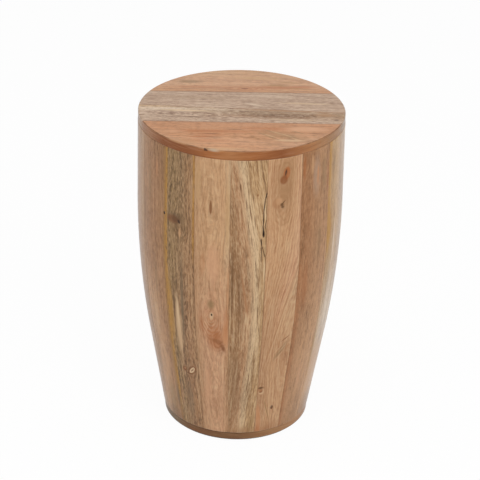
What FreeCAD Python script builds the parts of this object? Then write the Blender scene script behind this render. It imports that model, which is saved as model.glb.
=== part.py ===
"""Drum side table: a bellied drum of bevelled staves, closed by a glued-up round top and base."""
import FreeCAD, Part
import math
import os

import Sketcher

# Driving dimensions in millimetres. The floor is at zero height, and the drum's axis is the Z axis.
SIZES = {
    # Whole table
    "table_height": 560,
    # Drum: outside radius at the foot, the belly and the shoulder, and where the straight foot ends
    "foot_radius": 126.2,
    "flare_height": 160,
    "belly_radius": 170.2,
    "belly_height": 402,
    "shoulder_radius": 168.8,
    "stave_thickness": 22,
    # Round top. Its glue lines run out past the rim at these distances behind the centre, or in front of it
    "top_radius": 168.3,
    "top_thickness": 16,
    "top_bevel": 1.2,
    "back_seam_left": 67.2,
    "back_seam_right": 71.1,
    "mid_seam_left": 9.2,
    "mid_seam_right": -8.7,
    "front_seam_left": -58,
    "front_seam_right": -54.4,
    # Round base, with one glue line a little behind the centre
    "base_radius": 124.3,
    "base_thickness": 16,
    "base_bevel": 2.5,
    "base_seam": 6,
    # How far a saw cut runs past the rim of the top or the base
    "saw_overrun": 5,
    # Former rings inside the drum
    "ring_width": 44,
    "ring_thickness": 18,
    "glue_gap": 0.1,
    # Countersunk wood screws, with heads sunk a little below the face that they hold
    "screw_length": 28,
    "screw_radius": 2,
    "screw_head_radius": 4,
    "screw_point": 5,
    "screw_recess": 0.4,
    "screw_clearance": 0.1,
}

# Widths of the staves round the drum, from the left of the front, and where the first one starts
STAVE_WIDTH_SHARES = (21.5, 22.0, 19.0, 20.0, 19.7, 20.3, 22.0, 21.5, 22.4,
                      20.6, 21.8, 21.2, 22.6, 20.9, 21.7, 22.1, 20.7)
FIRST_SEAM_ANGLE = -87.5
FRONT_ANGLE = -90
FULL_TURN = 360
HEAD_ANGLE = 90
SCREW_COUNT = 3
SCREW_TURN = FULL_TURN / SCREW_COUNT / 4

# Levels and radii that several pieces share, written in the sheet's own names
FLOOR_LEVEL = "0"
SHOULDER_LEVEL = "(Sizes.table_height - Sizes.top_thickness)"
UPPER_RING_LEVEL = "(Sizes.table_height - Sizes.top_thickness - Sizes.ring_thickness)"
LOWER_RING_TOP = "(Sizes.base_thickness + Sizes.ring_thickness)"
UPPER_RING_SEAT = "(Sizes.shoulder_radius - Sizes.stave_thickness)"
LOWER_RING_SEAT = "(Sizes.foot_radius - Sizes.stave_thickness)"
SCREW_PITCH = f"({LOWER_RING_SEAT} - Sizes.ring_width / 2)"
RING_INSET = "(Sizes.stave_thickness + Sizes.glue_gap)"
BORE_RADIUS = "(Sizes.screw_radius + Sizes.screw_clearance)"
SINK_RADIUS = "(Sizes.screw_head_radius + Sizes.screw_recess + Sizes.screw_clearance)"
TOP_SECTION = ("Sizes.top_radius", "Sizes.top_bevel", SHOULDER_LEVEL, "Sizes.table_height", "-")
BASE_SECTION = ("Sizes.base_radius", "Sizes.base_bevel", "Sizes.base_thickness", FLOOR_LEVEL, "+")

# How a sketch numbers the ends of a line or arc, and its own origin and upright axis
START_INDEX, END_INDEX, CENTRE_INDEX = 1, 2, 3
ORIGIN_INDEXES = (-1, 1)
UPRIGHT_AXIS_INDEX = -2

ORIGIN = FreeCAD.Vector(0, 0, 0)
UP = FreeCAD.Vector(0, 0, 1)

doc = FreeCAD.newDocument("drum_side_table")


def make_sheet():
    """Put every driving dimension in a sheet, each cell named by its alias."""
    new_sheet = doc.addObject("Spreadsheet::Sheet", "Sizes")
    for row, (name, value) in enumerate(SIZES.items(), start=1):
        new_sheet.set(f"A{row}", name)
        new_sheet.set(f"B{row}", str(value))
        new_sheet.setAlias(f"B{row}", name)
    doc.recompute()
    return new_sheet


sheet = make_sheet()


def value_of(formula):
    """What a formula in the sheet's names comes to, for a sketch's first guess."""
    return float(sheet.evalExpression(formula))


def new_body(label, turn=0):
    """An empty body, turned about the drum's axis."""
    body = doc.addObject("PartDesign::Body", label)
    body.Label = label
    body.Placement = FreeCAD.Placement(ORIGIN, FreeCAD.Rotation(UP, turn))
    return body


def new_sketch(body, role, level=FLOOR_LEVEL):
    """A sketch on one of the body's own planes, lifted to a level."""
    sketch = body.newObject("Sketcher::SketchObject", body.Label + "_sketch")
    plane = next(f for f in body.Origin.OriginFeatures if f.Role == role)
    sketch.AttachmentSupport = (plane, [""])
    sketch.MapMode = "FlatFace"
    sketch.setExpression("AttachmentOffset.Base.z", level)
    return sketch


def drive(sketch, kind, ends, formula):
    """Add a constraint whose value follows the sheet."""
    index = sketch.addConstraint(Sketcher.Constraint(kind, *ends, value_of(formula)))
    sketch.setExpression(f"Constraints[{index}]", formula)


def place(sketch, geometry, end, across=None, along=None):
    """Hold a point of the sketch at distances from the sketch's origin."""
    if across is not None:
        drive(sketch, "DistanceX", (*ORIGIN_INDEXES, geometry, end), across)
    if along is not None:
        drive(sketch, "DistanceY", (*ORIGIN_INDEXES, geometry, end), along)


def add_line(sketch, start, end, construction=False):
    line = Part.LineSegment(FreeCAD.Vector(*start), FreeCAD.Vector(*end))
    return sketch.addGeometry(line, construction)


def add_arc(sketch, centre, radius, start_angle, end_angle, construction=False):
    circle = Part.Circle(FreeCAD.Vector(*centre), UP, radius)
    return sketch.addGeometry(Part.ArcOfCircle(circle, start_angle, end_angle), construction)


def add_loop(sketch, corners):
    """Straight sides from corner to corner, joined end to end and closed."""
    sides = [add_line(sketch, a, b) for a, b in zip(corners, corners[1:] + corners[:1])]
    for side, following in zip(sides, sides[1:] + sides[:1]):
        join(sketch, side, END_INDEX, following, START_INDEX)
    return sides


def add_outline(sketch, corners):
    """A straight-sided outline whose corners are held at pairs of formulas, across and up."""
    sides = add_loop(sketch, [(value_of(x), value_of(y)) for x, y in corners])
    for side, (x, y) in zip(sides, corners):
        place(sketch, side, START_INDEX, x, y)
    return sides


def join(sketch, first, first_end, second, second_end):
    sketch.addConstraint(Sketcher.Constraint("Coincident", first, first_end, second, second_end))


def level_lines(sketch, *lines):
    for line in lines:
        sketch.addConstraint(Sketcher.Constraint("Horizontal", line))


def on_axis(sketch, line):
    """Lay a line along the sketch's upright axis."""
    for end in (START_INDEX, END_INDEX):
        sketch.addConstraint(Sketcher.Constraint("PointOnObject", line, end, UPRIGHT_AXIS_INDEX))


def turn_round(body, sketch, angle, axis="V_Axis"):
    """Turn a section about an axis of its sketch, half of the angle to each side."""
    turned = body.newObject("PartDesign::Revolution", body.Label + "_turned")
    turned.Profile = sketch
    turned.ReferenceAxis = (sketch, [axis])
    turned.Angle = angle
    turned.Midplane = True
    doc.recompute()
    return turned


def cut_through(body, sketch, name):
    """Cut an outline right through the body, to both sides of the sketch."""
    cut = body.newObject("PartDesign::Pocket", f"{body.Label}_{name}")
    cut.Profile = sketch
    cut.Type = "ThroughAll"
    cut.SideType = "Symmetric"
    doc.recompute()


def stave_line(sketch, inset, construction=False):
    """The staves' outline from foot to shoulder, set in from the drum's outside by a formula.

    A straight foot runs on into the belly's arc, which is upright where the drum is widest.
    A straight shoulder closes in from there to the top.
    """
    foot_x = f"Sizes.foot_radius - {inset}"
    belly_x = f"Sizes.belly_radius - {inset}"
    shoulder_x = f"Sizes.shoulder_radius - {inset}"
    levels = ("Sizes.base_thickness", "Sizes.flare_height", "Sizes.belly_height", SHOULDER_LEVEL)
    foot_z, flare_z, belly_z, top_z = (value_of(level) for level in levels)
    rise = belly_z - flare_z
    lean = (value_of(belly_x) - value_of(foot_x)) / (rise / 2 + flare_z - foot_z)
    radius = rise / math.sin(math.atan(lean))
    flare_x = value_of(foot_x) + lean * (flare_z - foot_z)
    belly_centre = (value_of(belly_x) - radius, belly_z)

    foot = add_line(sketch, (value_of(foot_x), foot_z), (flare_x, flare_z), construction)
    belly = add_arc(sketch, belly_centre, radius, -math.atan(lean), 0, construction)
    shoulder = add_line(sketch, (value_of(belly_x), belly_z), (value_of(shoulder_x), top_z), construction)
    sketch.addConstraint(Sketcher.Constraint("Tangent", foot, END_INDEX, belly, START_INDEX))
    sketch.addConstraint(Sketcher.Constraint("Horizontal", belly, CENTRE_INDEX, belly, END_INDEX))
    join(sketch, belly, END_INDEX, shoulder, START_INDEX)
    place(sketch, foot, START_INDEX, foot_x, "Sizes.base_thickness")
    place(sketch, belly, START_INDEX, None, "Sizes.flare_height")
    place(sketch, belly, END_INDEX, belly_x, "Sizes.belly_height")
    place(sketch, shoulder, END_INDEX, shoulder_x, SHOULDER_LEVEL)
    return foot, shoulder


def stave_section(sketch, inset):
    """Everything between the drum's axis and the staves' outline."""
    foot, shoulder = stave_line(sketch, inset)
    low = value_of("Sizes.base_thickness")
    high = value_of(SHOULDER_LEVEL)
    over = add_line(sketch, (value_of("Sizes.shoulder_radius"), high), (0, high))
    axis = add_line(sketch, (0, high), (0, low))
    under = add_line(sketch, (0, low), (value_of("Sizes.foot_radius"), low))
    join(sketch, shoulder, END_INDEX, over, START_INDEX)
    join(sketch, over, END_INDEX, axis, START_INDEX)
    join(sketch, axis, END_INDEX, under, START_INDEX)
    join(sketch, under, END_INDEX, foot, START_INDEX)
    level_lines(sketch, over, under)
    on_axis(sketch, axis)


def make_stave(label, middle_angle, width_angle):
    """One stave: turned outside, flat inside and bevelled along both edges to its share of the ring."""
    body = new_body(label, middle_angle)
    outside = new_sketch(body, "XZ_Plane")
    stave_section(outside, "0")
    turn_round(body, outside, width_angle)
    inside = new_sketch(body, "XZ_Plane")
    stave_section(inside, "Sizes.stave_thickness")
    cut_through(body, inside, "hollowed")
    return body


def make_staves():
    total = sum(STAVE_WIDTH_SHARES)
    seam = FRONT_ANGLE + FIRST_SEAM_ANGLE
    staves = []
    for number, share in enumerate(STAVE_WIDTH_SHARES, start=1):
        width = FULL_TURN * share / total
        staves.append(make_stave(f"stave_{number:02d}", seam + width / 2, width))
        seam += width
    return staves


def disc_section(sketch, radius, bevel, square_level, eased_level, inward):
    """Half the section of a disc, bevelled off the edge at one of its two levels."""
    bevel_level = f"{eased_level} {inward} {bevel}"
    add_outline(sketch, [
        ("0", square_level),
        (radius, square_level),
        (radius, bevel_level),
        (f"{radius} - {bevel}", eased_level),
        ("0", eased_level)])


def seam_waste(sketch, radius, seam, side):
    """What a saw takes off a disc on one side of a glue line: 1 is behind it, -1 in front."""
    left, right = seam
    reach = f"({radius} + Sizes.saw_overrun)"
    far = f"{side} * {reach}"
    add_outline(sketch, [(f"-{reach}", left), (reach, right), (reach, far), (f"-{reach}", far)])


def make_board(label, section_sizes, front_seam, back_seam):
    """One board of a glued-up disc, cut from it along its glue lines."""
    body = new_body(label)
    section = new_sketch(body, "XZ_Plane")
    disc_section(section, *section_sizes)
    turn_round(body, section, FULL_TURN)
    waste = new_sketch(body, "XY_Plane")
    radius = section_sizes[0]
    if front_seam:
        seam_waste(waste, radius, front_seam, -1)
    if back_seam:
        seam_waste(waste, radius, back_seam, 1)
    cut_through(body, waste, "sawn")
    return body


def screw_circles(sketch):
    """A ring of bores, one for each screw."""
    for number in range(SCREW_COUNT):
        angle = SCREW_TURN + FULL_TURN * number / SCREW_COUNT
        centre_x = f"{SCREW_PITCH} * cos({angle} deg)"
        centre_y = f"{SCREW_PITCH} * sin({angle} deg)"
        centre = FreeCAD.Vector(value_of(centre_x), value_of(centre_y))
        circle = sketch.addGeometry(Part.Circle(centre, UP, value_of(BORE_RADIUS)))
        place(sketch, circle, CENTRE_INDEX, centre_x, centre_y)
        drive(sketch, "Radius", (circle,), BORE_RADIUS)


def bore_pilots(body):
    """Pilot holes through a ring, for the screws to bite in."""
    sketch = new_sketch(body, "XY_Plane")
    screw_circles(sketch)
    cut_through(body, sketch, "pilots")


def countersink(body):
    """Screw holes that go up through a base board, with countersunk mouths."""
    sketch = new_sketch(body, "XY_Plane")
    screw_circles(sketch)
    doc.recompute()
    holes = body.newObject("PartDesign::Hole", body.Label + "_holes")
    holes.Profile = sketch
    holes.Reversed = True
    holes.DepthType = "ThroughAll"
    holes.HoleCutType = "Countersink"
    holes.HoleCutCustomValues = True
    holes.HoleCutCountersinkAngle = HEAD_ANGLE
    holes.setExpression("Diameter", f"2 * {BORE_RADIUS}")
    holes.setExpression("HoleCutDiameter", f"2 * {SINK_RADIUS}")
    doc.recompute()


def make_top():
    """Four boards, edge-glued and cut round, bevelled round the upper edge."""
    names = ("front_seam", "mid_seam", "back_seam")
    seams = [None] + [(f"Sizes.{name}_left", f"Sizes.{name}_right") for name in names] + [None]
    labels = ("top_board_front", "top_board_mid_front", "top_board_mid_back", "top_board_back")
    return [make_board(label, TOP_SECTION, front_seam, back_seam)
            for label, front_seam, back_seam in zip(labels, seams, seams[1:])]


def make_base():
    """Two boards, edge-glued and cut round, bevelled round the lower edge and countersunk from below."""
    seam = ("Sizes.base_seam", "Sizes.base_seam")
    boards = [make_board("base_board_front", BASE_SECTION, None, seam),
              make_board("base_board_back", BASE_SECTION, seam, None)]
    for board in boards:
        countersink(board)
    return boards


def make_ring(label, low, high, bore, on_foot):
    """A former ring whose edge follows the inside of the staves' foot, or of their shoulder."""
    body = new_body(label)
    sketch = new_sketch(body, "XZ_Plane")
    foot, shoulder = stave_line(sketch, RING_INSET, construction=True)
    seat, seat_end = (foot, START_INDEX) if on_foot else (shoulder, END_INDEX)
    seat_x = sketch.getPoint(seat, seat_end).x
    low_z, high_z, bore_x = value_of(low), value_of(high), value_of(bore)
    corners = [(bore_x, low_z), (seat_x, low_z), (seat_x, high_z), (bore_x, high_z)]
    under, edge, over, inner = add_loop(sketch, corners)
    level_lines(sketch, under, over)
    sketch.addConstraint(Sketcher.Constraint("Vertical", inner))
    sketch.addConstraint(Sketcher.Constraint("PointOnObject", edge, START_INDEX, seat))
    sketch.addConstraint(Sketcher.Constraint("PointOnObject", edge, END_INDEX, seat))
    place(sketch, under, START_INDEX, bore, low)
    place(sketch, over, END_INDEX, None, high)
    turn_round(body, sketch, FULL_TURN)
    return body


def make_rings():
    """The top is glued to the upper ring, and the base is screwed to the lower one."""
    upper = make_ring("upper_ring", UPPER_RING_LEVEL, SHOULDER_LEVEL,
                      f"{UPPER_RING_SEAT} - Sizes.ring_width", on_foot=False)
    lower = make_ring("lower_ring", "Sizes.base_thickness", LOWER_RING_TOP,
                      f"{LOWER_RING_SEAT} - Sizes.ring_width", on_foot=True)
    bore_pilots(lower)
    return [upper, lower]


def make_screws():
    """A ring of countersunk screws that point up, their heads sunk in the base's underside."""
    body = new_body("base_screws", SCREW_TURN)
    sketch = new_sketch(body, "XZ_Plane")
    head_z = "Sizes.screw_recess"
    neck_z = f"{head_z} + Sizes.screw_head_radius - Sizes.screw_radius"
    point_z = f"{head_z} + Sizes.screw_length - Sizes.screw_point"
    tip_z = f"{head_z} + Sizes.screw_length"
    sides = add_outline(sketch, [
        (SCREW_PITCH, head_z),
        (f"{SCREW_PITCH} + Sizes.screw_head_radius", head_z),
        (f"{SCREW_PITCH} + Sizes.screw_radius", neck_z),
        (f"{SCREW_PITCH} + Sizes.screw_radius", point_z),
        (SCREW_PITCH, tip_z)])
    ends = [sketch.getPoint(side, START_INDEX) for side in (sides[0], sides[-1])]
    axis = sketch.addGeometry(Part.LineSegment(*ends), True)
    join(sketch, axis, START_INDEX, sides[0], START_INDEX)
    join(sketch, axis, END_INDEX, sides[-1], START_INDEX)
    screw = turn_round(body, sketch, FULL_TURN, "Axis0")
    ring = body.newObject("PartDesign::PolarPattern", "base_screws_ring")
    ring.Originals = [screw]
    ring.Axis = (sketch, ["V_Axis"])
    ring.Angle = FULL_TURN
    ring.Occurrences = SCREW_COUNT
    body.Tip = ring
    return body


def check_pieces(pieces):
    """Stop if a feature failed, or a piece is missing or has a bad solid."""
    failed = [item.Label for item in doc.Objects if {"Invalid", "Error"} & set(item.State)]
    if failed:
        raise RuntimeError("failed features: " + ", ".join(failed))
    for piece in pieces:
        if piece.Shape.isNull() or not piece.Shape.isValid() or not piece.Shape.Solids:
            raise RuntimeError("bad shape: " + piece.Label)


pieces = make_staves() + make_top() + make_base() + make_rings() + [make_screws()]
doc.recompute()
check_pieces(pieces)

os.makedirs("parts", exist_ok=True)
for piece in pieces:
    piece.Shape.exportStep(f"parts/{piece.Label}.step")
    print(f"{piece.Label}: {len(piece.Shape.Solids)} solid(s), {piece.Shape.Volume:.0f} cubic mm")
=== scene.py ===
"""Looks of the drum side table: turned staves, a glued-up round top and base, and the screws below."""
import math
from dataclasses import dataclass

import bmesh
import bpy
import numpy as np
from mathutils import Euler, Matrix, Vector


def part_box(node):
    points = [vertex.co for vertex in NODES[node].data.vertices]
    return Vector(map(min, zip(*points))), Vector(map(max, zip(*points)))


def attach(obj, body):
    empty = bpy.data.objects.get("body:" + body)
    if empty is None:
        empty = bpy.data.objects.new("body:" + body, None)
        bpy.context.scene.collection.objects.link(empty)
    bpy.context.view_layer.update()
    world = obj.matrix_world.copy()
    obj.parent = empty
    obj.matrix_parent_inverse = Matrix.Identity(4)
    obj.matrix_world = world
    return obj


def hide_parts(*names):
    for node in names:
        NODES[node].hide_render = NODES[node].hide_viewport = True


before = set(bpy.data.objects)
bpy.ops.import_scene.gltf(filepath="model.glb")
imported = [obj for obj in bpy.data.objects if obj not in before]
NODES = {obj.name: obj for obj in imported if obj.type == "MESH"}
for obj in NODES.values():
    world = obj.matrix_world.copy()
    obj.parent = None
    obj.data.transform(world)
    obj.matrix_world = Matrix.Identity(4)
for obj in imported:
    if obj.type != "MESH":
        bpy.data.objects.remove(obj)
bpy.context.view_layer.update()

# Lengths are in metres, as in the frame, and angles in radians
MM = 0.001

# Nodes of the pieces that hold the table together
RING_NODES = ("upper_ring", "lower_ring")
SCREW_NODE = "base_screws"

# The drum's outline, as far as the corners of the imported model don't give it
FLARE_HEIGHT = 160 * MM
STAVE_THICKNESS = 22 * MM
STEEPEST_LEAN = math.radians(45)
LEAN_STEPS = 60

# Eased edges, bevels and the chips in the rim
SEAM_EASE = 0.25 * MM
SEAM_EASE_WIDTH = 0.9 * MM
END_EASE = 0.5 * MM
END_EASE_HEIGHT = 2 * END_EASE
TOP_BEVEL = 1.2 * MM
BASE_BEVEL = 2.5 * MM
BOARD_SEAM_EASE = 0.2 * MM
RIM_EASE = 0.4 * MM
CHIP_DROP = 4 * MM
BEVEL_CHIP_SHARE = 0.7
SHARP_ANGLE = math.radians(32)

# Spacing of the meshes. Those of the staves are finer round seams, pits and cracks
RIM_STEP = math.radians(0.5)
STAVE_COLUMN_STEP = 2.2 * MM
STAVE_ROW_STEP = 4 * MM
STATION_GAP = 0.15 * MM
FINE_SHARES = (-1.5, -1, -0.6, -0.3, 0, 0.3, 0.6, 1, 1.5)

# What tells seams from rims, and one screw from the next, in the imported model
LEAST_SEAM_SHARE = 0.25
SCREW_SPREAD = math.radians(20)

# The screws that hold the base
BORE_CLEARANCE = 0.1 * MM
SCREW_SIDES = 24
SCREW_TURNS = np.linspace(0, math.tau, SCREW_SIDES, endpoint=False)
HEAD_EASE = 0.15 * MM
HEAD_LAND = 0.3 * MM
PLAIN_SHANK = 6 * MM
POINT_LENGTH = 5 * MM
THREAD_PITCH = 1.8 * MM
THREAD_DEPTH = 0.55 * MM
THREAD_ROWS = 8
CREST_SHARE = 0.35
CROSS_REACH = 2.4 * MM
CROSS_ARM = 0.55 * MM
CROSS_DEPTH = 1.6 * MM
CROSS_TAPER = 0.6


# Tones, as red, green and blue out of 255
def tone(red, green, blue):
    """A screen colour as the linear colour that a shader takes."""
    shares = [value / 255 for value in (red, green, blue)]
    linear = [s / 12.92 if s <= 0.04045 else ((s + 0.055) / 1.055) ** 2.4 for s in shares]
    return (*linear, 1.0)


MILK = tone(222, 202, 180)
PEARL = tone(214, 190, 164)
CREAM = tone(210, 180, 142)
SAND = tone(199, 163, 125)
SALMON = tone(194, 149, 108)
ROSE = tone(177, 132, 94)
PEACH = tone(202, 153, 117)
APRICOT = tone(188, 132, 90)
CLAY = tone(166, 121, 84)
TAN = tone(184, 145, 101)
HONEY = tone(180, 130, 54)
MUSTARD = tone(156, 116, 66)
BROWN = tone(157, 116, 78)
OLIVE = tone(144, 113, 72)
UMBER = tone(102, 69, 40)
PEAT = tone(74, 53, 36)
DRAB = tone(146, 114, 78)
TAUPE = tone(176, 145, 121)
ASH = tone(181, 150, 126)
SLATE = tone(116, 95, 70)
RUST = tone(164, 98, 52)
RUSSET = tone(130, 72, 31)
CHESTNUT = tone(128, 78, 44)
AMBER = tone(152, 91, 45)
GINGER = tone(166, 110, 65)
COPPER = tone(157, 108, 70)
COCOA = tone(113, 77, 47)
BARK = tone(52, 31, 18)
LICHEN = tone(176, 160, 138)
DULL_STEEL = tone(150, 148, 142)
BRIGHT_STEEL = tone(196, 194, 188)


# What a board's wood is described by, with places along it and sizes in millimetres
@dataclass
class Spot:
    """An oval on a board, at a share across it from -1 to 1. Its sizes are kept in metres."""
    across: float
    along: float
    half_width: float
    half_length: float

    def __post_init__(self):
        self.along *= MM
        self.half_width *= MM
        self.half_length *= MM


@dataclass
class Mark(Spot):
    """A soft-edged oval of another tone: a spot, a streak, a stain, painted shade or a painted highlight.
    Where it has a depth on a stave it is a pit, whose dark tone is painted shade in the hollow; on a board
    a depth lets it reach down the rim.

    The core is the share of it that is at full strength, and the lean its slope across the grain.
    """
    tone: tuple
    strength: float
    core: float = 0.3
    lean: float = 0.0
    depth: float = 0.0

    def __post_init__(self):
        super().__post_init__()
        self.depth *= MM


@dataclass
class Knot(Spot):
    """A place that the grain flows round, with rings of its own tone about it or only below it."""
    rings: float
    tone: tuple
    strength: float
    blush: float = 0.3
    below: bool = False


@dataclass
class Crack:
    """An open split that follows a few points, each a share across the board and a place along it. Its tone
    is painted shade inside the split.
    """
    points: tuple
    half_width: float
    depth: float
    tone: tuple = BARK

    def stretches(self):
        """The two ends of each straight part."""
        return zip(self.points, self.points[1:])


@dataclass
class Chip:
    """A small piece out of the top's rim: degrees round from the front, how wide and how deep."""
    angle: float
    half_width: float
    depth: float


@dataclass
class Line:
    """A stripe of another tone along a board's edge on one side, -1 or 1, between two places along it."""
    side: int
    width_share: float
    tone: tuple
    strength: float
    start: float = -1000
    end: float = 1000


@dataclass
class Wood:
    """How one board looks: tones across it at each end, how strong its figure is, and its marks.

    The far bands, at its lower or left end, change to the others over the turnover. The heart of the
    growth rings lies aside and behind the face. The drift has places along and shifts of the grain across.
    The painted shade along the joint behind the rim, where the board meets the staves, has a strength, a
    place and a reach; the corner a tone, a width and a strength, and on the base the corner is painted
    contact shadow.
    """
    bands: tuple
    far_bands: tuple = ()
    turnover: tuple = (200, 340)
    streaks: float = 0.5
    flecks: float = 0.4
    rings: float = 0.2
    fibres: float = 0.5
    patches: float = 0.2
    curl: float = 0.06
    ring_spacing: float = 5.5
    heart: tuple = (0, 40)
    drift: tuple = ()
    dark: tuple = UMBER
    pale: tuple = CREAM
    marks: tuple = ()
    knots: tuple = ()
    cracks: tuple = ()
    lines: tuple = ()
    edge: tuple = ()
    painted_joint_shade: tuple = (0.2, 0, 500)
    corner: tuple = ()


def dashes(places, half_width, half_length, tone, strength, lean):
    """Like dashes along the grain, one at each place across and along the board."""
    return tuple(Mark(*place, half_width, half_length, tone, strength, lean=lean) for place in places)


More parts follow.
